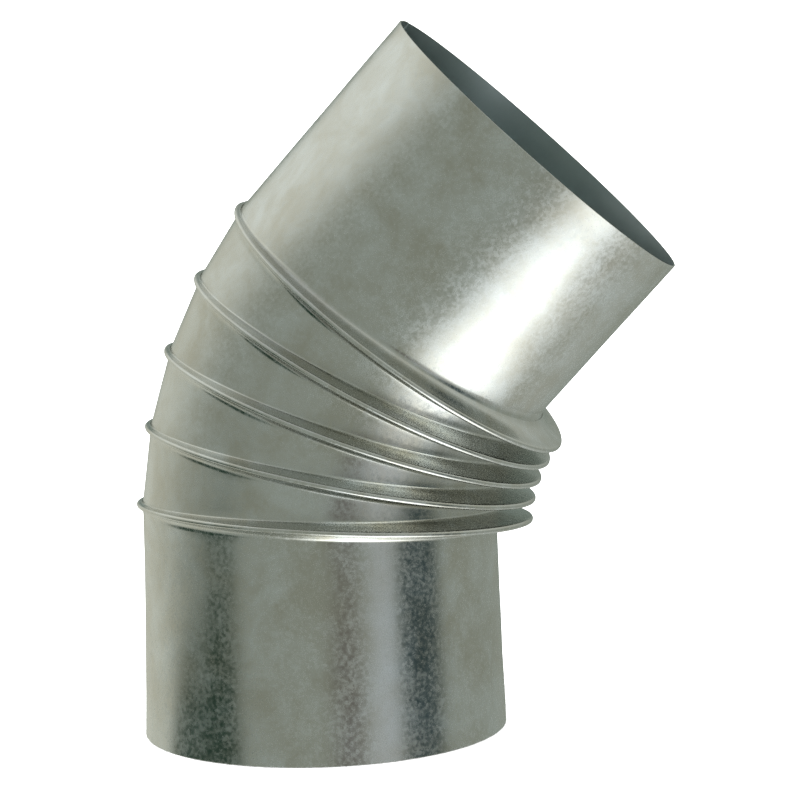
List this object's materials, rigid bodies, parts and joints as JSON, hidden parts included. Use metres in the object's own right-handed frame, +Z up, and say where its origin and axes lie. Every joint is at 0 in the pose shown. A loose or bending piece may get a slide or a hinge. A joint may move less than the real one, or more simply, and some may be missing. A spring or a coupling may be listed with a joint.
{
  "type": "flue elbow",
  "caption": "Pleated 45 degree elbow in bare galvanised sheet for round flue pipe, with a socket end and a spigot end.",
  "frame": {"origin": "middle of the bottom of the bounding box, on the plane of the lower rim", "axes": "+Z up along the inlet's axis, the bend leans toward +X, Y is square to the plane of the bend"},
  "size_m": [0.2282, 0.1674, 0.2918],
  "materials": {
    "galvanised_sheet": "bare zinc-coated sheet, satin to bright, with a fine mottled spangle"
  },
  "bodies": {
    "root": {"lower_collar": "galvanised_sheet", "gore_1": "galvanised_sheet", "gore_2": "galvanised_sheet", "gore_3": "galvanised_sheet", "gore_4": "galvanised_sheet", "upper_collar": "galvanised_sheet"}
  },
  "joints": []
}
